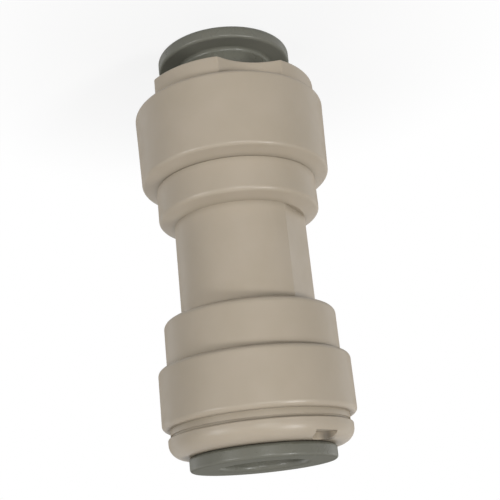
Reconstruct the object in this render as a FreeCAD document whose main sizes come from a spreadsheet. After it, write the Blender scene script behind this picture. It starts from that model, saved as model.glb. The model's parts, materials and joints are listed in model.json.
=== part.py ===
import FreeCAD, Part
import math
import os
import re
import Sketcher

# Straight push-fit connector for plastic tube, in millimetres.
# The fitting stands on end A: Z is the tube axis, z = 0 is the outer face of collet A's flange,
# and end B is at the top. Collet A is drawn out of its cap, and collet B is pushed into its cap.
# The neck's flats face along X, and the four scallops of end ring A lie between the X and Y axes.

# Driving sizes: name, value, meaning
SIZES = [
    ("tube_bore_radius", 4.85, "bore that takes the tube, in the body and in both collets"),
    ("stop_step", 1.55, "step inwards at each tube stop, down to the flow passage"),
    ("stop_thickness", 3.0, "web between the two tube stops"),
    ("neck_wall", 3.01, "wall of the plain neck round the tube bore"),
    ("neck_length", 11.76, "neck between the collars"),
    ("flat_depth", 0.57, "depth of each flat below the neck's round"),
    ("spigot_wall", 1.8, "wall of the socket end that each cap is pressed over"),
    ("collar_a_step", 0.36, "step outwards from the spigot to the collar next to cap A"),
    ("collar_a_length", 4.66, "length of collar A that shows past its cap"),
    ("collar_b_step", 0.71, "step outwards from the spigot to the collar next to cap B"),
    ("collar_b_length", 5.49, "length of collar B that shows past its cap"),
    ("collar_a_fall", 0.7, "slope of collar A's end, from its rim in to the neck"),
    ("collar_a_rounding", 0.55, "rounded edge of collar A at the neck"),
    ("collar_b_rounding", 0.68, "rounded edge of collar B at the neck"),
    ("bead_setback", 1.0, "start of the snap bead from the spigot's end"),
    ("bead_ramp", 0.6, "sloping part of the snap bead"),
    ("bead_land", 0.3, "flat top of the snap bead"),
    ("bead_height", 0.25, "height of the snap bead"),
    ("cap_clearance", 0.05, "gap between a spigot and its cap"),
    ("chamber_clearance", 0.5, "gap between a collet's head and the chamber round it"),
    ("cone_land", 0.385, "straight chamber wall between a cap's cone and its seat"),
    ("guide_clearance", 0.08, "running gap between a collet's sleeve and its cap"),
    ("guide_length", 3.89, "bore of each cap that guides the sleeve, with its chamfer"),
    ("mouth_chamfer", 0.3, "chamfer at each cap's mouth, over the sleeve's rounded corner"),
    ("head_clearance", 0.31, "gap along the axis between a drawn-out collet's head and the cone"),
    ("seal_grip", 0.2, "distance that each O-ring stands inside the tube bore"),
    ("ring_cord_radius", 1.05, "section radius of each O-ring"),
    ("gland_clearance", 0.1, "gap round each O-ring in its groove"),
    ("gland_play", 0.3, "spare length of each O-ring groove"),
    ("washer_thickness", 1.2, "spacer washer"),
    ("washer_bore_clearance", 0.15, "gap between the washer's hole and the tube bore"),
    ("washer_clearance", 0.05, "gap round the spacer washer"),
    ("tip_clearance", 0.4, "gap between a pushed-in collet and its washer"),
    ("cap_a_wall", 2.33, "wall of cap A at its shoulder, round the spigot"),
    ("cap_a_taper", 0.31, "radius that cap A loses from its shoulder to its skirt edge"),
    ("skirt_a_reach", 5.72, "length of cap A past the end of the spigot"),
    ("end_ring_step", 0.86, "step inwards from cap A's shoulder to its end ring"),
    ("end_ring_height", 2.38, "end ring on cap A above the shoulder"),
    ("scallop_depth", 1.7, "depth of each scallop in the end ring"),
    ("scallop_radius", 8.0, "round of each scallop"),
    ("scallop_count", 4, "scallops round end ring A"),
    ("scallop_angle", 47, "turn of the first scallop from X"),
    ("scallop_corner_rounding", 0.4, "rounded corner between a scallop and a lobe"),
    ("end_ring_rounding", 0.2, "rounded outer edge of end ring A"),
    ("ring_root_rounding", 0.15, "rounded inner corner where end ring A meets the shoulder"),
    ("skirt_a_fall", 0.85, "slope of cap A's skirt end, from its rim in to the spigot"),
    ("skirt_a_rounding", 0.45, "rounded skirt edge of cap A"),
    ("cap_shoulder_rounding", 0.55, "rounded shoulder edge of cap A"),
    ("skirt_b_rounding", 0.6, "rounded skirt edge of cap B"),
    ("cap_b_wall", 1.7, "wall of cap B round the spigot"),
    ("skirt_b_reach", 3.2, "length of cap B past the end of the spigot"),
    ("cap_b_rounding", 0.6, "rounded edge of cap B's side at the band"),
    ("band_step", 0.9, "step inwards from cap B's side to the narrow band"),
    ("band_height", 0.66, "narrow band between cap B's side and the groove"),
    ("groove_width", 0.28, "fine groove between the band and the lip ring"),
    ("groove_depth", 0.12, "depth of the fine groove below the band"),
    ("lip_step", 0.31, "step outwards from the band to the lip ring"),
    ("lip_height", 2.2, "lip ring of cap B"),
    ("lip_rounding", 1.65, "rounded end edge of the lip ring"),
    ("lip_back_rounding", 0.22, "rounded edge of the lip ring at its groove"),
    ("notch_radius", 1.6, "round of the gate notch in the lip ring"),
    ("notch_inset", 0.5, "centre of the gate notch inside the lip ring's outer edge"),
    ("notch_depth", 0.75, "depth of the gate notch below the lip's face"),
    ("notch_angle", 159, "turn of the gate notch from X, seen from end B"),
    ("flange_step", 2.55, "step outwards from each collet's sleeve to its flange"),
    ("flange_thickness", 1.55, "flange of each collet"),
    ("flange_rounding", 0.35, "rounded outer edges of the flange"),
    ("lead_rounding", 0.55, "rounded edge of the collet's mouth"),
    ("flange_gap_out", 3.85, "gap between a drawn-out collet's flange and its cap"),
    ("flange_gap_in", 0.06, "gap between a pushed-in collet's flange and its cap"),
    ("sleeve_wall", 0.9, "wall of each collet's sleeve"),
    ("sleeve_rounding", 0.45, "rounded corner between the sleeve and the flange"),
    ("finger_length", 6.4, "slotted part of each collet"),
    ("finger_count", 6, "fingers round each collet"),
    ("slot_width", 0.9, "slot between two fingers"),
    ("head_step", 1.25, "step outwards from the sleeve to the head of each finger"),
    ("head_length", 3.4, "head of each finger with its ramp"),
    ("head_ramp", 1.8, "sloping back of each finger's head"),
    ("head_chamfer", 0.4, "chamfer on each finger's tip"),
    ("tooth_grip", 0.2, "distance that each tooth's tip stands inside the tube bore"),
    ("tooth_reach", 1.5, "grip tooth across the axis"),
    ("tooth_lean", 0.9, "grip tooth along the axis, from its root to its tip"),
    ("tooth_thickness", 0.35, "grip tooth along the axis"),
    ("tooth_width", 2.2, "grip tooth round the collet"),
    ("tooth_setback", 1.1, "tip of each grip tooth from the finger's tip"),
    ("tooth_clearance", 0.03, "gap round each grip tooth in its pocket"),
]

# Radii worked out from the tube bore outwards
FLOW_RADIUS = "(tube_bore_radius - stop_step)"
NECK_RADIUS = "(tube_bore_radius + neck_wall)"
FLAT_REACH = f"({NECK_RADIUS} - flat_depth)"
SLEEVE_RADIUS = "(tube_bore_radius + sleeve_wall)"
FLANGE_RADIUS = f"({SLEEVE_RADIUS} + flange_step)"
HEAD_RADIUS = f"({SLEEVE_RADIUS} + head_step)"
GUIDE_RADIUS = f"({SLEEVE_RADIUS} + guide_clearance)"
CHAMBER_RADIUS = f"({HEAD_RADIUS} + chamber_clearance)"
SPIGOT_RADIUS = f"({CHAMBER_RADIUS} + spigot_wall)"
BEAD_RADIUS = f"({SPIGOT_RADIUS} + bead_height)"
COLLAR_RADIUS_A = f"({SPIGOT_RADIUS} + collar_a_step)"
COLLAR_RADIUS_B = f"({SPIGOT_RADIUS} + collar_b_step)"
CAP_BORE_RADIUS = f"({SPIGOT_RADIUS} + cap_clearance)"
SHOULDER_RADIUS_A = f"({CAP_BORE_RADIUS} + cap_a_wall)"
SKIRT_RADIUS_A = f"({SHOULDER_RADIUS_A} - cap_a_taper)"
END_RING_RADIUS = f"({SHOULDER_RADIUS_A} - end_ring_step)"
SIDE_RADIUS_B = f"({CAP_BORE_RADIUS} + cap_b_wall)"
BAND_RADIUS = f"({SIDE_RADIUS_B} - band_step)"
LIP_RADIUS = f"({BAND_RADIUS} + lip_step)"
O_RING_BORE_RADIUS = "(tube_bore_radius - seal_grip)"
GLAND_RADIUS = f"({O_RING_BORE_RADIUS} + 2 * ring_cord_radius + gland_clearance)"
WASHER_RADIUS = f"({CHAMBER_RADIUS} - washer_clearance)"
TOOTH_TIP_RADIUS = "(tube_bore_radius - tooth_grip)"

# Lengths along each collet, and depths below each cap's end face
HEAD_START = "(flange_thickness + flange_gap_out + guide_length + head_clearance)"
COLLET_LENGTH = f"({HEAD_START} + head_length)"
CONE_LENGTH = f"(({CHAMBER_RADIUS} - {GUIDE_RADIUS}) * head_ramp / head_step)"
CONE_END = f"(guide_length + {CONE_LENGTH})"
SEAT_DEPTH = f"({CONE_END} + cone_land)"
CAP_LENGTH_A = f"({SEAT_DEPTH} + skirt_a_reach)"
CAP_LENGTH_B = f"({SEAT_DEPTH} + skirt_b_reach)"
WASHER_DEPTH = f"({COLLET_LENGTH} - flange_thickness - flange_gap_in + tip_clearance)"
GLAND_DEPTH = f"({WASHER_DEPTH} + washer_thickness)"
GLAND_LENGTH = "(2 * ring_cord_radius + gland_play)"
GLAND_FLOOR_DEPTH = f"({GLAND_DEPTH} + {GLAND_LENGTH})"

# Faces along Z, from end A up
RING_FACE_A = "(flange_thickness + flange_gap_out)"
SKIRT_EDGE_A = f"({RING_FACE_A} + {CAP_LENGTH_A})"
NECK_START = f"({SKIRT_EDGE_A} + collar_a_length)"
NECK_END = f"({NECK_START} + neck_length)"
SKIRT_EDGE_B = f"({NECK_END} + collar_b_length)"
LIP_FACE_B = f"({SKIRT_EDGE_B} + {CAP_LENGTH_B})"
TOP_FACE = f"({LIP_FACE_B} + flange_gap_in + flange_thickness)"
MIDDLE = f"({NECK_START} + neck_length / 2)"

ALIAS = re.compile(r"\b(" + "|".join(name for name, _, _ in SIZES) + r")\b")
TOLERANCE = 0.001

# Where a new sketch's points lie before their sizes pull them into place
START_PLACE = 20
START_SPREAD = 10

document = FreeCAD.newDocument("PushFitConnector")


def make_sheet():
    """The spreadsheet of driving sizes: name, value and meaning on one row each."""
    sheet = document.addObject("Spreadsheet::Sheet", "Sizes")
    for row, (name, value, meaning) in enumerate(SIZES, start=1):
        sheet.set(f"A{row}", name)
        sheet.set(f"B{row}", str(value))
        sheet.set(f"C{row}", meaning)
        sheet.setAlias(f"B{row}", name)
    document.recompute()
    return sheet


sheet = make_sheet()


def bound(formula):
    """The formula with each size's name pointing at its cell."""
    return ALIAS.sub(r"Sizes.\1", formula)


def size(name):
    """The number in a size's cell."""
    return float(sheet.get(name))


def make_body(label):
    """A new body for one piece of the fitting."""
    body = document.addObject("PartDesign::Body", label)
    body.Label = label
    return body


def sketch_on(body, role, name, turn=None):
    """A sketch on one of the body's own planes, turned about Z if a turn is given."""
    plane = [feature for feature in body.Origin.OriginFeatures if feature.Role == role][0]
    sketch = body.newObject("Sketcher::SketchObject", name)
    sketch.AttachmentSupport = [(plane, "")]
    sketch.MapMode = "FlatFace"
    if turn is not None:
        upright = FreeCAD.Vector(0, 1, 0) if role == "XZ_Plane" else FreeCAD.Vector(0, 0, 1)
        sketch.AttachmentOffset = FreeCAD.Placement(FreeCAD.Vector(), FreeCAD.Rotation(upright, 0))
        sketch.setExpression("AttachmentOffset.Rotation.Angle", bound(turn))
    return sketch


def hold(sketch, kind, index, point, name, formula, start):
    """Ties one point of the sketch to a distance from the origin."""
    if formula == "0":
        axis = -2 if kind == "DistanceX" else -1
        sketch.addConstraint(Sketcher.Constraint("PointOnObject", index, point, axis))
        return
    number = sketch.addConstraint(Sketcher.Constraint(kind, -1, 1, index, point, start))
    sketch.renameConstraint(number, name)
    sketch.setExpression("Constraints." + name, bound(formula))


def outline(sketch, points):
    """A closed outline through named points, each at its distance across and along."""
    count = len(points)
    first = sketch.GeometryCount
    corners = []
    for step in range(count):
        angle = 2 * math.pi * step / count
        across = START_PLACE + START_SPREAD * math.cos(angle)
        along = START_PLACE + START_SPREAD * math.sin(angle)
        corners.append(FreeCAD.Vector(across, along, 0))
    for step in range(count):
        sketch.addGeometry(Part.LineSegment(corners[step], corners[(step + 1) % count]), False)
    for step in range(count):
        following = first + (step + 1) % count
        sketch.addConstraint(Sketcher.Constraint("Coincident", first + step, 2, following, 1))
    for step, (name, across, along) in enumerate(points):
        hold(sketch, "DistanceX", first + step, 1, name + "_across", across, corners[step].x)
        hold(sketch, "DistanceY", first + step, 1, name + "_along", along, corners[step].y)


def round_outline(sketch, across, radius):
    """A circle whose centre lies on the sketch's own X axis."""
    start = FreeCAD.Vector(START_PLACE, 0, 0)
    circle = sketch.addGeometry(Part.Circle(start, FreeCAD.Vector(0, 0, 1), START_SPREAD), False)
    hold(sketch, "DistanceX", circle, 3, "centre", across, start.x)
    hold(sketch, "DistanceY", circle, 3, "level", "0", 0)
    number = sketch.addConstraint(Sketcher.Constraint("Radius", circle, START_SPREAD))
    sketch.renameConstraint(number, "round")
    sketch.setExpression("Constraints.round", bound(radius))


def revolve(body, points, name):
    """The solid that an outline of radius and height sweeps round Z."""
    sketch = sketch_on(body, "XZ_Plane", name + "_profile")
    outline(sketch, points)
    turned = body.newObject("PartDesign::Revolution", name)
    turned.Profile = sketch
    turned.ReferenceAxis = (sketch, ["V_Axis"])
    turned.Angle = 360
    document.recompute()
    return turned


def extrude(body, kind, sketch, length, name):
    """A pad or pocket that reaches half its length to each side of its sketch."""
    feature = body.newObject("PartDesign::" + kind, name)
    feature.Profile = sketch
    feature.Type = "Length"
    feature.SideType = "Symmetric"
    feature.setExpression("Length", bound(length))
    document.recompute()
    return feature


def cut(body, sketch, length, name):
    """A pocket that is checked to have taken material away."""
    before = body.Shape.Volume
    feature = extrude(body, "Pocket", sketch, length, name)
    if body.Shape.Volume >= before:
        raise RuntimeError(name + " cut nothing")
    return feature


def repeat_round(body, features, count, name):
    """Copies of the features, evenly spaced round Z."""
    pattern = body.newObject("PartDesign::PolarPattern", name)
    pattern.Originals = features
    axis = [feature for feature in body.Origin.OriginFeatures if feature.Role == "Z_Axis"][0]
    pattern.Axis = (axis, [""])
    pattern.Angle = 360
    pattern.setExpression("Occurrences", bound(count))
    body.Tip = pattern
    document.recompute()
    return pattern


def ring_edges(feature, radius, height):
    """Names of the round edges about Z that have this radius and height."""
    names = []
    for number, edge in enumerate(feature.Shape.Edges, start=1):
        curve = edge.Curve
        if not isinstance(curve, Part.Circle):
            continue
        off_axis = math.hypot(curve.Center.x, curve.Center.y)
        misses = (off_axis, abs(curve.Radius - radius), abs(curve.Center.z - height))
        if max(misses) < TOLERANCE:
            names.append(f"Edge{number}")
    if not names:
        raise RuntimeError(f"no round edge of radius {radius:.3f} at height {height:.3f}")
    return names


def place_of(sketch, point):
    """Radius and height of a named point of a profile."""
    across = sketch.getDatum(point + "_across").Value
    held = [constraint.Name for constraint in sketch.Constraints]
    along = sketch.getDatum(point + "_along").Value if point + "_along" in held else 0.0
    return across, along


def round_off(body, feature, edges, radius, name):
    """A fillet on the named edges of the feature."""
    fillet = body.newObject("PartDesign::Fillet", name)
    fillet.Base = (feature, edges)
    fillet.setExpression("Radius", bound(radius))
    document.recompute()
    return fillet


def round_rings(body, feature, profile, points, radius, name):
    """A fillet on the round edges that a revolved profile's named points make."""
    edges = []
    for point in points:
        edges += ring_edges(feature, *place_of(profile, point))
    return round_off(body, feature, edges, radius, name)


def stand_at(piece, height):
    """Sets the piece at its height with its own axis pointing to end B."""
    piece.setExpression("Placement.Base.z", bound(height))


def hang_at(piece, height):
    """Sets the piece at its height with its own axis pointing to end A."""
    piece.Placement = FreeCAD.Placement(
        FreeCAD.Vector(), FreeCAD.Rotation(FreeCAD.Vector(1, 0, 0), 180))
    piece.setExpression("Placement.Base.z", bound(height))


def socket_profile(end, towards, cap_face, skirt_edge, collar_radius, rim, neck_edge):
    """Half of the body's profile, as outer and inner points, from the spigot's end to the neck.

    towards is + where the inside of the socket lies above its cap's face, and - where it lies below.
    """
    def depth(amount):
        return f"({cap_face} {towards} {amount})"

    spigot_end = depth(SEAT_DEPTH)
    bead_start = f"({spigot_end} {towards} bead_setback)"
    bead_top = f"({bead_start} {towards} bead_ramp)"
    bead_end = f"({bead_top} {towards} bead_land)"
    stop = f"({MIDDLE} {'-' if towards == '+' else '+'} stop_thickness / 2)"
    outer = [
        (f"spigot_{end}", SPIGOT_RADIUS, spigot_end),
        (f"bead_foot_{end}", SPIGOT_RADIUS, bead_start),
        (f"bead_top_{end}", BEAD_RADIUS, bead_top),
        (f"bead_back_{end}", BEAD_RADIUS, bead_end),
        (f"bead_root_{end}", SPIGOT_RADIUS, bead_end),
        (f"collar_seat_{end}", SPIGOT_RADIUS, skirt_edge),
        (f"collar_{end}", collar_radius, skirt_edge),
        (f"collar_rim_{end}", collar_radius, rim),
        (f"neck_{end}", NECK_RADIUS, neck_edge),
    ]
    inner = [
        (f"chamber_{end}", CHAMBER_RADIUS, spigot_end),
        (f"washer_seat_{end}", CHAMBER_RADIUS, depth(GLAND_DEPTH)),
        (f"gland_mouth_{end}", GLAND_RADIUS, depth(GLAND_DEPTH)),
        (f"gland_floor_{end}", GLAND_RADIUS, depth(GLAND_FLOOR_DEPTH)),
        (f"tube_seat_{end}", "tube_bore_radius", depth(GLAND_FLOOR_DEPTH)),
        (f"tube_stop_{end}", "tube_bore_radius", stop),
        (f"passage_{end}", FLOW_RADIUS, stop),
    ]
    return outer, inner


def make_fitting_body():
    """The one-piece moulding: two stepped sockets, their collars, and the neck with its flats."""
    body = make_body("fitting_body")
    outer_a, inner_a = socket_profile(
        "a", "+", RING_FACE_A, SKIRT_EDGE_A, COLLAR_RADIUS_A, f"{NECK_START} - collar_a_fall",
        NECK_START)
    outer_b, inner_b = socket_profile(
        "b", "-", LIP_FACE_B, SKIRT_EDGE_B, COLLAR_RADIUS_B, NECK_END, NECK_END)
    turned = revolve(body, outer_a + outer_b[::-1] + inner_b + inner_a[::-1], "sockets")
    profile = turned.Profile[0]
    rim = round_rings(body, turned, profile, ["collar_rim_a"], "collar_a_rounding", "collar_a_rim")
    round_rings(body, rim, profile, ["collar_rim_b"], "collar_b_rounding", "collar_b_rim")

    sketch = sketch_on(body, "XY_Plane", "flat_outline")
    sketch.setExpression("AttachmentOffset.Base.z", bound(MIDDLE))
    outline(sketch, [
        ("near", FLAT_REACH, f"-{NECK_RADIUS}"),
        ("near_outside", f"{NECK_RADIUS} + flat_depth", f"-{NECK_RADIUS}"),
        ("far_outside", f"{NECK_RADIUS} + flat_depth", NECK_RADIUS),
        ("far", FLAT_REACH, NECK_RADIUS),
    ])
    flat = cut(body, sketch, "neck_length", "flat")
    repeat_round(body, [flat], "2", "flats")


def cap_socket(length):
    """Inner points of a cap, from its end face to its skirt edge."""
    groove_start = f"({SEAT_DEPTH} + bead_setback)"
    groove_floor = f"({groove_start} + bead_ramp)"
    groove_end = f"({groove_floor} + bead_land + cap_clearance)"
    return [
        ("mouth", f"{GUIDE_RADIUS} + mouth_chamfer", "0"),
        ("guide_start", GUIDE_RADIUS, "mouth_chamfer"),
        ("cone_foot", GUIDE_RADIUS, "guide_length"),
        ("cone_top", CHAMBER_RADIUS, CONE_END),
        ("seat", CHAMBER_RADIUS, SEAT_DEPTH),
        ("seat_corner", CAP_BORE_RADIUS, SEAT_DEPTH),
        ("snap_foot", CAP_BORE_RADIUS, groove_start),
        ("snap_floor", f"{CAP_BORE_RADIUS} + bead_height", groove_floor),
        ("snap_back", f"{CAP_BORE_RADIUS} + bead_height", groove_end),
        ("snap_root", CAP_BORE_RADIUS, groove_end),
        ("skirt_inside", CAP_BORE_RADIUS, length),
    ]


def scallop_corners(feature, ring_radius):
    """Names of the upright edges between the scallops and the lobes of the end ring."""
    names = []
    for number, edge in enumerate(feature.Shape.Edges, start=1):
        upright = isinstance(edge.Curve, Part.Line) and abs(edge.tangentAt(edge.FirstParameter).z) > 0.99
        middle = edge.CenterOfMass
        on_lobe = abs(math.hypot(middle.x, middle.y) - ring_radius) < TOLERANCE
        if upright and on_lobe:
            names.append(f"Edge{number}")
    return names


def end_ring_edges(feature, height, least, most):
    """Names of the end ring's level edges at a height whose ends stay between two radii."""
    names = []
    for number, edge in enumerate(feature.Shape.Edges, start=1):
        off_level = max(abs(vertex.Z - height) for vertex in edge.Vertexes)
        reaches = [math.hypot(vertex.X, vertex.Y) for vertex in edge.Vertexes]
        if off_level < TOLERANCE and min(reaches) > least and max(reaches) < most:
            names.append(f"Edge{number}")
    return names


def make_end_cap_a():
    """The longer cap: tapered skirt, cone for the collet, and an end ring with four scallops."""
    body = make_body("end_cap_a")
    outside = [
        ("skirt_edge", SKIRT_RADIUS_A, f"{CAP_LENGTH_A} - skirt_a_fall"),
        ("shoulder", SHOULDER_RADIUS_A, "end_ring_height"),
        ("ring_base", END_RING_RADIUS, "end_ring_height"),
        ("ring_face", END_RING_RADIUS, "0"),
    ]
    turned = revolve(body, cap_socket(CAP_LENGTH_A) + outside, "cap")
    profile = turned.Profile[0]
    skirt = round_rings(body, turned, profile, ["skirt_edge"], "skirt_a_rounding", "skirt_round")
    round_rings(body, skirt, profile, ["shoulder"], "cap_shoulder_rounding", "shoulder_round")

    sketch = sketch_on(body, "XY_Plane", "scallop_outline", turn="scallop_angle")
    round_outline(sketch, f"{END_RING_RADIUS} - scallop_depth + scallop_radius", "scallop_radius")
    scallop = cut(body, sketch, "2 * end_ring_height", "scallop")
    ring = repeat_round(body, [scallop], "scallop_count", "scallops")

    ring_radius, shoulder_height = place_of(profile, "ring_base")
    upright = scallop_corners(ring, ring_radius)
    corners = round_off(body, ring, upright, "scallop_corner_rounding", "lobe_corners")
    least = ring_radius - size("scallop_depth") - TOLERANCE
    most = ring_radius + TOLERANCE
    rim = end_ring_edges(corners, 0, least, most)
    rounded = round_off(body, corners, rim, "end_ring_rounding", "end_ring_edge")
    root = end_ring_edges(rounded, shoulder_height, least, most)
    round_off(body, rounded, root, "ring_root_rounding", "end_ring_root")
    stand_at(body, RING_FACE_A)


def make_end_cap_b():
    """The shorter cap: straight side, narrow band, fine groove and a rounded lip ring."""
    body = make_body("end_cap_b")
    groove_top = "lip_height + groove_width"
    side_end = "lip_height + groove_width + band_height"
    outside = [
        ("skirt_edge", SIDE_RADIUS_B, CAP_LENGTH_B),
        ("side_end", SIDE_RADIUS_B, side_end),
        ("band_start", BAND_RADIUS, side_end),
        ("band_end", BAND_RADIUS, groove_top),
        ("groove_top", f"{BAND_RADIUS} - groove_depth", groove_top),
        ("groove_foot", f"{BAND_RADIUS} - groove_depth", "lip_height"),
        ("lip_back", LIP_RADIUS, "lip_height"),
        ("lip_face", LIP_RADIUS, "0"),
    ]
    turned = revolve(body, cap_socket(CAP_LENGTH_B) + outside, "cap")
    profile = turned.Profile[0]
    skirt = round_rings(body, turned, profile, ["skirt_edge"], "skirt_b_rounding", "skirt_round")
    side = round_rings(body, skirt, profile, ["side_end"], "cap_b_rounding", "side_round")
    lip = round_rings(body, side, profile, ["lip_face"], "lip_rounding", "lip_round")
    round_rings(body, lip, profile, ["lip_back"], "lip_back_rounding", "lip_back_round")

    sketch = sketch_on(body, "XY_Plane", "notch_outline", turn="notch_angle")
    round_outline(sketch, f"{LIP_RADIUS} - notch_inset", "notch_radius")
    cut(body, sketch, "2 * notch_depth", "gate_notch")
    hang_at(body, LIP_FACE_B)


def tooth_outline(clearance):
    """A leaning tooth from its tip at the bore to its root in the finger's head."""
    root = f"{TOOTH_TIP_RADIUS} + tooth_reach + {clearance}"
    tip = f"{COLLET_LENGTH} - tooth_setback"
    fall = f"tooth_lean * (tooth_reach + {clearance}) / tooth_reach"
    return [
        ("tip_front", TOOTH_TIP_RADIUS, f"{tip} - {clearance}"),
        ("root_front", root, f"{tip} - {clearance} - {fall}"),
        ("root_back", root, f"{tip} + tooth_thickness + {clearance} - {fall}"),
        ("tip_back", TOOTH_TIP_RADIUS, f"{tip} + tooth_thickness + {clearance}"),
    ]


def make_collet(end):
    """A release collet: flange, sleeve and slotted fingers with heads that hold the teeth."""
    body = make_body("collet_" + end)
    turned = revolve(body, [
        ("face_rim", FLANGE_RADIUS, "0"),
        ("flange_back", FLANGE_RADIUS, "flange_thickness"),
        ("sleeve_root", SLEEVE_RADIUS, "flange_thickness"),
        ("head_foot", SLEEVE_RADIUS, HEAD_START),
        ("head_top", HEAD_RADIUS, f"{HEAD_START} + head_ramp"),
        ("head_end", HEAD_RADIUS, f"{COLLET_LENGTH} - head_chamfer"),
        ("tip_rim", f"{HEAD_RADIUS} - head_chamfer", COLLET_LENGTH),
        ("tip_bore", "tube_bore_radius", COLLET_LENGTH),
        ("mouth", "tube_bore_radius", "0"),
    ], "collet")
    profile = turned.Profile[0]
    rims = round_rings(
        body, turned, profile, ["face_rim", "flange_back"], "flange_rounding", "flange_rims")
    corner = round_rings(body, rims, profile, ["sleeve_root"], "sleeve_rounding", "sleeve_corner")
    round_rings(body, corner, profile, ["mouth"], "lead_rounding", "mouth_round")

    sketch = sketch_on(body, "XZ_Plane", "slot_outline", turn="180 / finger_count")
    slot_root = f"{COLLET_LENGTH} - finger_length"
    past_tip = f"{COLLET_LENGTH} + slot_width"
    outline(sketch, [
        ("inside_root", "tube_bore_radius - slot_width", slot_root),
        ("outside_root", f"{HEAD_RADIUS} + slot_width", slot_root),
        ("outside_tip", f"{HEAD_RADIUS} + slot_width", past_tip),
        ("inside_tip", "tube_bore_radius - slot_width", past_tip),
    ])
    slot = cut(body, sketch, "slot_width", "slot")
    sketch = sketch_on(body, "XZ_Plane", "pocket_outline")
    outline(sketch, tooth_outline("tooth_clearance"))
    pocket = cut(body, sketch, "tooth_width + 2 * tooth_clearance", "tooth_pocket")
    repeat_round(body, [slot, pocket], "finger_count", "fingers")
    return body


def make_tooth(end, number):
    """One stainless grip tooth, turned to its finger."""
    body = make_body(f"grip_tooth_{end}_{number + 1}")
    sketch = sketch_on(body, "XZ_Plane", "tooth_outline", turn=f"360 * {number} / finger_count")
    outline(sketch, tooth_outline("0 * tooth_clearance"))
    extrude(body, "Pad", sketch, "tooth_width", "tooth")
    return body


def make_o_ring(end, height):
    """An O-ring in the middle of its gland."""
    ring = document.addObject("Part::Torus", "o_ring_" + end)
    ring.Label = "o_ring_" + end
    ring.setExpression("Radius1", bound(f"{O_RING_BORE_RADIUS} + ring_cord_radius"))
    ring.setExpression("Radius2", bound("ring_cord_radius"))
    stand_at(ring, height)


def make_washer(end):
    """A spacer washer, from the face that seats on the gland's step."""
    body = make_body("spacer_washer_" + end)
    revolve(body, [
        ("seat_inside", "tube_bore_radius + washer_bore_clearance", "0"),
        ("seat_outside", WASHER_RADIUS, "0"),
        ("top_outside", WASHER_RADIUS, "washer_thickness"),
        ("top_inside", "tube_bore_radius + washer_bore_clearance", "washer_thickness"),
    ], "washer")
    return body


def make_end_pieces():
    """The collets, teeth, O-rings and washers of both ends, each at its place."""
    stand_at(make_collet("a"), "0")
    hang_at(make_collet("b"), TOP_FACE)
    for number in range(int(size("finger_count"))):
        stand_at(make_tooth("a", number), "0")
        hang_at(make_tooth("b", number), TOP_FACE)
    hang_at(make_washer("a"), f"{RING_FACE_A} + {GLAND_DEPTH}")
    stand_at(make_washer("b"), f"{LIP_FACE_B} - {GLAND_DEPTH}")
    make_o_ring("a", f"{RING_FACE_A} + {GLAND_DEPTH} + {GLAND_LENGTH} / 2")
    make_o_ring("b", f"{LIP_FACE_B} - {GLAND_DEPTH} - {GLAND_LENGTH} / 2")


def pieces():
    """Every finished piece of the document."""
    kinds = ("PartDesign::Body", "Part::Torus")
    return [item for item in document.Objects if item.TypeId in kinds]


def check_document():
    """Stops if any object failed or any piece isn't one sound solid."""
    for item in document.Objects:
        if "Invalid" in item.State or "Error" in item.State:
            raise RuntimeError(f"{item.Label} failed: {item.State}")
    for piece in pieces():
        shape = piece.Shape
        if shape.isNull() or not shape.isValid() or len(shape.Solids) != 1:
            raise RuntimeError(f"{piece.Label} isn't one valid solid")


def write_pieces():
    """One STEP file for each piece, named by its label."""
    os.makedirs("parts", exist_ok=True)
    for piece in pieces():
        piece.Shape.exportStep(f"parts/{piece.Label}.step")
        box = piece.Shape.BoundBox
        print(f"{piece.Label}: {piece.Shape.Volume:.1f} mm3, z {box.ZMin:.2f} to {box.ZMax:.2f}")


make_fitting_body()
make_end_cap_a()
make_end_cap_b()
make_end_pieces()
document.recompute()
check_document()
write_pieces()
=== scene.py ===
import json
import math

import bpy
from mathutils import Matrix, Vector

# Straight push-fit connector: materials, light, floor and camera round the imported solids.
# Everything is in metres, in the frame of the solids: Z is the tube axis, and the fitting stands on
# the flange of its drawn-out collet at end A.

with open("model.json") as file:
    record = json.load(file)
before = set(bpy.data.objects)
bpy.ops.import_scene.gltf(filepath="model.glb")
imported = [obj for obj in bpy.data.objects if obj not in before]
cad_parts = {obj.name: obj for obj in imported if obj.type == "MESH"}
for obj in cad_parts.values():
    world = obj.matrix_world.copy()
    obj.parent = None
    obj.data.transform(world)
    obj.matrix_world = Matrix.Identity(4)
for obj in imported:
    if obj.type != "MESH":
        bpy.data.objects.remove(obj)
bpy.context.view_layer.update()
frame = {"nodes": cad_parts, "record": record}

MM = 0.001
UP = Vector((0, 0, 1))

# The colour sockets of a Mix node, by number: its two colours and its result
COLOUR_A, COLOUR_B, COLOUR_OUT = 6, 7, 2


# Colour and node helpers

def linear(colour):
    """A colour written as sRGB hex, turned to the linear values that shaders take."""
    channels = []
    for start in (1, 3, 5):
        value = int(colour[start:start + 2], 16) / 255
        channels.append(value / 12.92 if value <= 0.04045 else ((value + 0.055) / 1.055) ** 2.4)
    return (*channels, 1.0)


def add_node(tree, kind, settings=None, inputs=None, links=None):
    """One node with its settings, its plain input values and its incoming links."""
    node = tree.nodes.new(kind)
    for name, value in (settings or {}).items():
        setattr(node, name, value)
    for socket, value in (inputs or {}).items():
        node.inputs[socket].default_value = value
    for socket, source in (links or {}).items():
        tree.links.new(source, node.inputs[socket])
    return node


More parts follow.
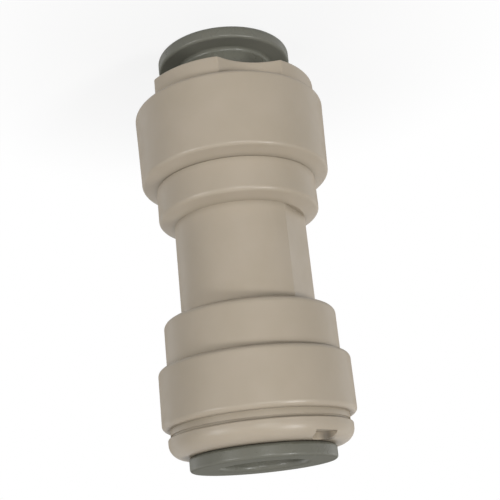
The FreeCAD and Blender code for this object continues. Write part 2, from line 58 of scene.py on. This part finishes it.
def new_material(name):
    """An empty material with its shader, its output and the object's own coordinates in place."""
    material = bpy.data.materials.new(name)
    material.use_nodes = True
    tree = material.node_tree
    tree.nodes.clear()
    shader = add_node(tree, "ShaderNodeBsdfPrincipled")
    add_node(tree, "ShaderNodeOutputMaterial", links={"Surface": shader.outputs["BSDF"]})
    place = add_node(tree, "ShaderNodeTexCoord").outputs["Object"]
    return material, tree, shader, place


def soft_patches(tree, place, across, detail):
    """Soft noise from 0 to 1 in patches of about one size across, in metres.

    The noise keeps near its middle, so what lies between low and high is spread over the range.
    """
    low, high = 0.3, 0.7
    cloud = add_node(tree, "ShaderNodeTexNoise", inputs={"Scale": 1 / across, "Detail": detail},
                     links={"Vector": place})
    return add_node(tree, "ShaderNodeMapRange", inputs={"From Min": low, "From Max": high},
                    links={"Value": cloud.outputs["Fac"]}).outputs["Result"]


# Moulded acetal

ACETAL_IOR = 1.48
ACETAL_SPECULAR = 0.34

# Light goes a little way in, farthest in red
ACETAL_GLOW = 0.08
ACETAL_GLOW_DEPTH = 0.6 * MM
ACETAL_GLOW_SHARES = (1.0, 0.8, 0.6)

# Widths of its patterns: colour drift along the flow, patches of gloss, waves over the wall as it
# shrinks, and the grain of the mould's steel
FLOW_WIDTH = 6 * MM
BLOOM_WIDTH = 1.6 * MM
WAVE_WIDTH = 1.1 * MM
GRAIN_WIDTH = 0.22 * MM
WAVE_HEIGHT = 0.003 * MM
GRAIN_HEIGHT = 0.35 * WAVE_HEIGHT

# Painted crease shade, darkening the colour where surfaces close in: how far round a point counts,
# and the open share where the painted shade starts and where it is full
CREASE_REACH = 0.95 * MM
CREASE_OPEN = 0.97
CREASE_TIGHT = 0.66
CREASE_RAYS = 12

# An end face, told by how far it faces along the axis: where it starts and where it is full
END_FACE_START = 0.55
END_FACE_FULL = 0.85

# Seen at a slant, satin plastic mirrors less sharply, so an outline has no pale rim
SKIM_START = 0.6
SKIM_FULL = 0.95
SKIM_DULLS = 0.4


def moulded_acetal(name, colour, shade, painted_crease_shade, roughness, end_roughness):
    """Injection-moulded acetal: opaque, slightly waxy and satin, with faint flow mottling.

    The eye gets an even body colour that drifts a little over some millimetres, a thin line of
    painted shade where two pieces meet or a step ends, a soft wide highlight that breaks up
    slightly, and edges that catch a thin line of light. Faces square to the tube axis have a
    roughness of their own.
    """
    material, tree, shader, place = new_material(name)
    body = add_node(tree, "ShaderNodeMix", {"data_type": "RGBA"},
                    {COLOUR_A: linear(colour), COLOUR_B: linear(shade)},
                    {"Factor": soft_patches(tree, place, FLOW_WIDTH, 3)})
    # Painted shade: the base colour is darkened towards the crease colour where ambient occlusion
    # finds surfaces close by
    open_air = add_node(tree, "ShaderNodeAmbientOcclusion", {"samples": CREASE_RAYS},
                        {"Distance": CREASE_REACH}).outputs["AO"]
    clear = add_node(tree, "ShaderNodeMapRange",
                     inputs={"From Min": CREASE_TIGHT, "From Max": CREASE_OPEN},
                     links={"Value": open_air})
    skin_with_crease_shade = add_node(tree, "ShaderNodeMix", {"data_type": "RGBA"}, {COLOUR_A: linear(painted_crease_shade)},
                    {"Factor": clear.outputs["Result"], COLOUR_B: body.outputs[COLOUR_OUT]})
    tree.links.new(skin_with_crease_shade.outputs[COLOUR_OUT], shader.inputs["Base Color"])

    bloom = add_node(tree, "ShaderNodeMapRange",
                     inputs={"To Min": roughness[0], "To Max": roughness[1]},
                     links={"Value": soft_patches(tree, place, BLOOM_WIDTH, 3)})
    glance = add_node(tree, "ShaderNodeLayerWeight").outputs["Facing"]
    skim = add_node(tree, "ShaderNodeMapRange",
                    inputs={"From Min": SKIM_START, "From Max": SKIM_FULL, "To Max": SKIM_DULLS},
                    links={"Value": glance})
    side = add_node(tree, "ShaderNodeMath", {"operation": "ADD"},
                    links={0: bloom.outputs["Result"], 1: skim.outputs["Result"]})
    facing = add_node(tree, "ShaderNodeSeparateXYZ",
                      links={"Vector": place.node.outputs["Normal"]}).outputs["Z"]
    level = add_node(tree, "ShaderNodeMath", {"operation": "ABSOLUTE"}, links={0: facing})
    end_face = add_node(tree, "ShaderNodeMapRange",
                        inputs={"From Min": END_FACE_START, "From Max": END_FACE_FULL},
                        links={"Value": level.outputs["Value"]})
    rough = add_node(tree, "ShaderNodeMix", {"data_type": "FLOAT"}, {"B": end_roughness},
                     {"Factor": end_face.outputs["Result"], "A": side.outputs["Value"]})
    tree.links.new(rough.outputs["Result"], shader.inputs["Roughness"])
    shader.inputs["IOR"].default_value = ACETAL_IOR
    shader.inputs["Specular IOR Level"].default_value = ACETAL_SPECULAR
    shader.inputs["Subsurface Weight"].default_value = ACETAL_GLOW
    shader.inputs["Subsurface Radius"].default_value = ACETAL_GLOW_SHARES
    shader.inputs["Subsurface Scale"].default_value = ACETAL_GLOW_DEPTH

    waves = add_node(tree, "ShaderNodeBump", inputs={"Strength": 1.0, "Distance": WAVE_HEIGHT},
                     links={"Height": soft_patches(tree, place, WAVE_WIDTH, 2)})
    grain = add_node(tree, "ShaderNodeBump", inputs={"Strength": 1.0, "Distance": GRAIN_HEIGHT},
                     links={"Height": soft_patches(tree, place, GRAIN_WIDTH, 2),
                            "Normal": waves.outputs["Normal"]})
    tree.links.new(grain.outputs["Normal"], shader.inputs["Normal"])
    return material


# The painted shade in the gate recess in end_cap_b's lip: its middle, on the recess's inner wall
# just under the lip's face, and the distances at which it starts to fade and has faded out
GATE_BEARING = math.radians(192.5)
GATE_FROM_AXIS = 8.85 * MM
GATE_HEIGHT = 49.4 * MM
GATE_SHADE_CORE = 0.2 * MM
GATE_SHADE_REACH = 1.1 * MM
GATE_SHADE_SHARE = 0.9


def paint_gate_shade(material):
    """Painted shade on the inner wall of the recess where the gate was cut: a soft dark smudge.

    Its share falls smoothly with the distance from the middle of the spot.
    """
    tree = material.node_tree
    shader = tree.nodes["Principled BSDF"]
    skin_with_crease_shade = shader.inputs["Base Color"].links[0].from_socket
    place = add_node(tree, "ShaderNodeTexCoord").outputs["Object"]
    middle = (GATE_FROM_AXIS * math.cos(GATE_BEARING), GATE_FROM_AXIS * math.sin(GATE_BEARING),
              GATE_HEIGHT)
    offset = add_node(tree, "ShaderNodeVectorMath", {"operation": "SUBTRACT"}, {1: middle},
                      {0: place})
    away = add_node(tree, "ShaderNodeVectorMath", {"operation": "LENGTH"},
                    links={0: offset.outputs["Vector"]})
    share = add_node(tree, "ShaderNodeMapRange", {"interpolation_type": "SMOOTHSTEP"},
                     {"From Min": GATE_SHADE_CORE, "From Max": GATE_SHADE_REACH,
                      "To Min": GATE_SHADE_SHARE, "To Max": 0.0},
                     {"Value": away.outputs["Value"]})
    # Painted shade: the recess wall's colour mixed towards a dark brown grey
    gate_shaded = add_node(tree, "ShaderNodeMix", {"data_type": "RGBA"},
                       {COLOUR_B: linear("#5F574C")},
                       {"Factor": share.outputs["Result"], COLOUR_A: skin_with_crease_shade})
    tree.links.new(gate_shaded.outputs[COLOUR_OUT], shader.inputs["Base Color"])


def cream_acetal():
    """The body's and the caps' acetal, coloured a warm cream grey, satin from the mould."""
    material = moulded_acetal("cream_acetal", colour="#B4A897", shade="#AEA290", painted_crease_shade="#9D9281",
                              roughness=(0.28, 0.38), end_roughness=0.45)
    # Painted shade in the gate recess
    paint_gate_shade(material)
    return material


def grey_acetal():
    """The collets' acetal, a darker warm grey, with end faces that the mould left dull."""
    return moulded_acetal("grey_acetal", colour="#706F65", shade="#6A6A60", painted_crease_shade="#66665C",
                          roughness=(0.25, 0.34), end_roughness=0.95)


def natural_acetal():
    """The spacer washers' uncoloured acetal: milky white."""
    return moulded_acetal("natural_acetal", colour="#CFCBC0", shade="#C6C1B5", painted_crease_shade="#A6A195",
                          roughness=(0.36, 0.46), end_roughness=0.5)


# Seals and teeth

RUBBER_IOR = 1.52
RUBBER_ROUGHNESS = (0.32, 0.48)
GREASE_WIDTH = 0.8 * MM


def nitrile_rubber():
    """Moulded nitrile O-ring, greased: near black with a soft wet sheen in uneven patches."""
    material, tree, shader, place = new_material("nitrile_rubber")
    drift = soft_patches(tree, place, GREASE_WIDTH, 2)
    body = add_node(tree, "ShaderNodeMix", {"data_type": "RGBA"},
                    {COLOUR_A: linear("#1B1B1A"), COLOUR_B: linear("#242322")},
                    {"Factor": drift})
    tree.links.new(body.outputs[COLOUR_OUT], shader.inputs["Base Color"])
    grease = add_node(tree, "ShaderNodeMapRange",
                      inputs={"To Min": RUBBER_ROUGHNESS[0], "To Max": RUBBER_ROUGHNESS[1]},
                      links={"Value": drift})
    tree.links.new(grease.outputs["Result"], shader.inputs["Roughness"])
    shader.inputs["IOR"].default_value = RUBBER_IOR
    return material


# Rolling lines on the strip: their length, how many times finer they are along the tube axis, and
# their height. Real ones lie about 0.01 mm apart, and these about 0.04 mm, so that they can show.
STRIP_ROUGHNESS = (0.22, 0.34)
ROLLING_LENGTH = 0.35 * MM
ROLLING_FINER = 9
ROLLING_HEIGHT = 0.001 * MM


def stainless_strip():
    """Stainless spring strip, stamped into teeth: bright, with fine rolling lines."""
    material, tree, shader, place = new_material("stainless_strip")
    lines = add_node(tree, "ShaderNodeMapping", inputs={"Scale": (1, 1, ROLLING_FINER)},
                     links={"Vector": place})
    rolled = soft_patches(tree, lines.outputs["Vector"], ROLLING_LENGTH, 3)
    body = add_node(tree, "ShaderNodeMix", {"data_type": "RGBA"},
                    {COLOUR_A: linear("#B9B8B4"), COLOUR_B: linear("#CFCECA")},
                    {"Factor": rolled})
    tree.links.new(body.outputs[COLOUR_OUT], shader.inputs["Base Color"])
    shader.inputs["Metallic"].default_value = 1.0
    polish = add_node(tree, "ShaderNodeMapRange",
                      inputs={"To Min": STRIP_ROUGHNESS[0], "To Max": STRIP_ROUGHNESS[1]},
                      links={"Value": rolled})
    tree.links.new(polish.outputs["Result"], shader.inputs["Roughness"])
    bump = add_node(tree, "ShaderNodeBump", inputs={"Strength": 1.0, "Distance": ROLLING_HEIGHT},
                    links={"Height": rolled})
    tree.links.new(bump.outputs["Normal"], shader.inputs["Normal"])
    return material


MATERIALS = {
    "cream_moulding": cream_acetal(),
    "grey_moulding": grey_acetal(),
    "washer_moulding": natural_acetal(),
    "seal_rubber": nitrile_rubber(),
    "tooth_steel": stainless_strip(),
}


def dress_nodes():
    """Gives every CAD node the material of its slot in the record."""
    for row in frame["record"]["subparts"]:
        node = frame["nodes"][row["node"]]
        for slot in node.material_slots:
            slot.material = MATERIALS[row["material_slot"]]


# Stage

def sight_rays(tree):
    """One for the rays that show a background: the camera's, and those in gloss or clear things."""
    rays = add_node(tree, "ShaderNodeLightPath").outputs
    shown = add_node(tree, "ShaderNodeMath", {"operation": "MAXIMUM"},
                     links={0: rays["Is Camera Ray"], 1: rays["Is Glossy Ray"]})
    return add_node(tree, "ShaderNodeMath", {"operation": "MAXIMUM"}, links={
        0: shown.outputs["Value"], 1: rays["Is Transmission Ray"]}).outputs["Value"]


FLOOR_SIDE = 3.0

# The floor's shadow: how far from the axis it starts to fade and has faded out, and the share of
# plain white that covers it close to the object
SHADOW_INSIDE = 12 * MM
SHADOW_OUTSIDE = 45 * MM
SHADOW_WHITE = 0.85


def floor_material():
    """Matt pale board. The eye sees it white, apart from the soft shadow close to the object.

    For the light that it sends back up it counts as a mid grey board, which keeps the faces turned
    down to it as dim as the photo has them.
    """
    material = bpy.data.materials.new("pale_board")
    material.use_nodes = True
    tree = material.node_tree
    tree.nodes.clear()
    place = add_node(tree, "ShaderNodeTexCoord").outputs["Object"]
    away = add_node(tree, "ShaderNodeVectorMath", {"operation": "LENGTH"}, links={0: place})
    beyond = add_node(tree, "ShaderNodeMapRange", {"interpolation_type": "SMOOTHSTEP"},
                      {"From Min": SHADOW_INSIDE, "From Max": SHADOW_OUTSIDE,
                       "To Min": SHADOW_WHITE, "To Max": 1.0},
                      {"Value": away.outputs["Value"]})
    pale = add_node(tree, "ShaderNodeBsdfDiffuse", inputs={"Color": linear("#F4F4F4")})
    white = add_node(tree, "ShaderNodeEmission", inputs={"Strength": 1.0})
    shown = add_node(tree, "ShaderNodeMixShader", links={
        0: beyond.outputs["Result"], 1: pale.outputs["BSDF"], 2: white.outputs["Emission"]})
    grey = add_node(tree, "ShaderNodeBsdfDiffuse", inputs={"Color": linear("#808080")})
    board = add_node(tree, "ShaderNodeMixShader", links={
        0: sight_rays(tree), 1: grey.outputs["BSDF"], 2: shown.outputs["Shader"]})
    add_node(tree, "ShaderNodeOutputMaterial", links={"Surface": board.outputs["Shader"]})
    return material


def lay_floor():
    """A square floor at the height of the standing face."""
    half = FLOOR_SIDE / 2
    corners = [(-half, -half, 0), (half, -half, 0), (half, half, 0), (-half, half, 0)]
    mesh = bpy.data.meshes.new("floor")
    mesh.from_pydata(corners, [], [(0, 1, 2, 3)])
    mesh.materials.append(floor_material())
    floor = bpy.data.objects.new("floor", mesh)
    bpy.context.scene.collection.objects.link(floor)


# Camera, matched to the photograph. End A is at the top of the picture, so it is rolled over.
# Lengths in pixels are in the photograph's frame: the lens's focal length, and where the aim point,
# a point of the axis, lies in the picture. The depth is the aim point's distance along the view.
PHOTO_SIDE = 500
SENSOR = 36.0
LENS_PIXELS = 957.6
VIEW_BEARING = math.radians(245)
VIEW_RISE = math.radians(18.33)
VIEW_ROLL = math.radians(5.98)
AIM_HEIGHT = 27.3 * MM
AIM_PIXEL = (243.8, 262.6)
AIM_DEPTH = 114.1 * MM
NEAREST_SEEN = 5 * MM


def side_vectors(bearing):
    """The level direction at a bearing from X, and the level one square to it, at its right."""
    return (Vector((math.cos(bearing), math.sin(bearing), 0)),
            Vector((math.sin(bearing), -math.cos(bearing), 0)))


def set_camera():
    """Sets the camera at the bearing, rise and roll, with the aim point on its pixel."""
    level, across = side_vectors(VIEW_BEARING)
    back = level * math.cos(VIEW_RISE) + UP * math.sin(VIEW_RISE)
    down_picture = UP * math.cos(VIEW_RISE) - level * math.sin(VIEW_RISE)
    right = across * math.cos(VIEW_ROLL) + down_picture * math.sin(VIEW_ROLL)
    top = across * math.sin(VIEW_ROLL) - down_picture * math.cos(VIEW_ROLL)
    offset = [(pixel - PHOTO_SIDE / 2) / LENS_PIXELS * AIM_DEPTH for pixel in AIM_PIXEL]
    place = UP * AIM_HEIGHT + back * AIM_DEPTH - right * offset[0] + top * offset[1]

    data = bpy.data.cameras.new("camera")
    data.sensor_width = SENSOR
    data.lens = LENS_PIXELS / PHOTO_SIDE * SENSOR
    data.clip_start = NEAREST_SEEN
    camera = bpy.data.objects.new("camera", data)
    turn = Matrix((right, top, back)).transposed().to_4x4()
    camera.matrix_world = Matrix.Translation(place) @ turn
    bpy.context.scene.collection.objects.link(camera)
    bpy.context.scene.camera = camera


# Light

ROOM_LIGHT = 0.17
SOFTBOX_DISTANCE = 1.0

# Softboxes: name, bearing and rise in degrees, side in metres, power in watts, and whether gloss
# shows them. The two behind the object would edge it in white, which the photo doesn't have.
SOFTBOXES = [
    ("key_softbox", 202, 29, 0.22, 4.65, True),
    ("front_softbox", 237, 10, 0.36, 2.85, True),
    ("fill_softbox", 295, 10, 0.3, 3.4, True),
    ("back_left_softbox", 105, 16, 0.5, 3.5, False),
    ("back_right_softbox", 28, 16, 0.5, 3.0, False),
]


def add_softbox(name, bearing, rise, side, power, in_gloss):
    """A square softbox at a bearing and rise, turned to the middle of the object."""
    level, _ = side_vectors(math.radians(bearing))
    away = level * math.cos(math.radians(rise)) + UP * math.sin(math.radians(rise))
    data = bpy.data.lights.new(name, "AREA")
    data.shape = "SQUARE"
    data.size = side
    data.energy = power
    lamp = bpy.data.objects.new(name, data)
    lamp.visible_glossy = in_gloss
    lamp.matrix_world = (Matrix.Translation(UP * AIM_HEIGHT + away * SOFTBOX_DISTANCE)
                         @ away.to_track_quat("Z", "Y").to_matrix().to_4x4())
    bpy.context.scene.collection.objects.link(lamp)


def set_world():
    """A dim even room for the light, which the eye and the gloss see as white."""
    world = bpy.data.worlds.new("studio")
    world.use_nodes = True
    bpy.context.scene.world = world
    tree = world.node_tree
    tree.nodes.clear()
    room = add_node(tree, "ShaderNodeBackground",
                    inputs={"Color": linear("#FFFFFF"), "Strength": ROOM_LIGHT})
    white = add_node(tree, "ShaderNodeBackground",
                     inputs={"Color": linear("#FFFFFF"), "Strength": 1.0})
    seen = add_node(tree, "ShaderNodeMixShader", links={
        0: sight_rays(tree), 1: room.outputs["Background"], 2: white.outputs["Background"]})
    add_node(tree, "ShaderNodeOutputWorld", links={"Surface": seen.outputs["Shader"]})


def light_stage():
    """The softboxes round the object, and the room."""
    for softbox in SOFTBOXES:
        add_softbox(*softbox)
    set_world()


dress_nodes()
lay_floor()
set_camera()
light_stage()
bpy.context.scene.view_settings.view_transform = "Standard"
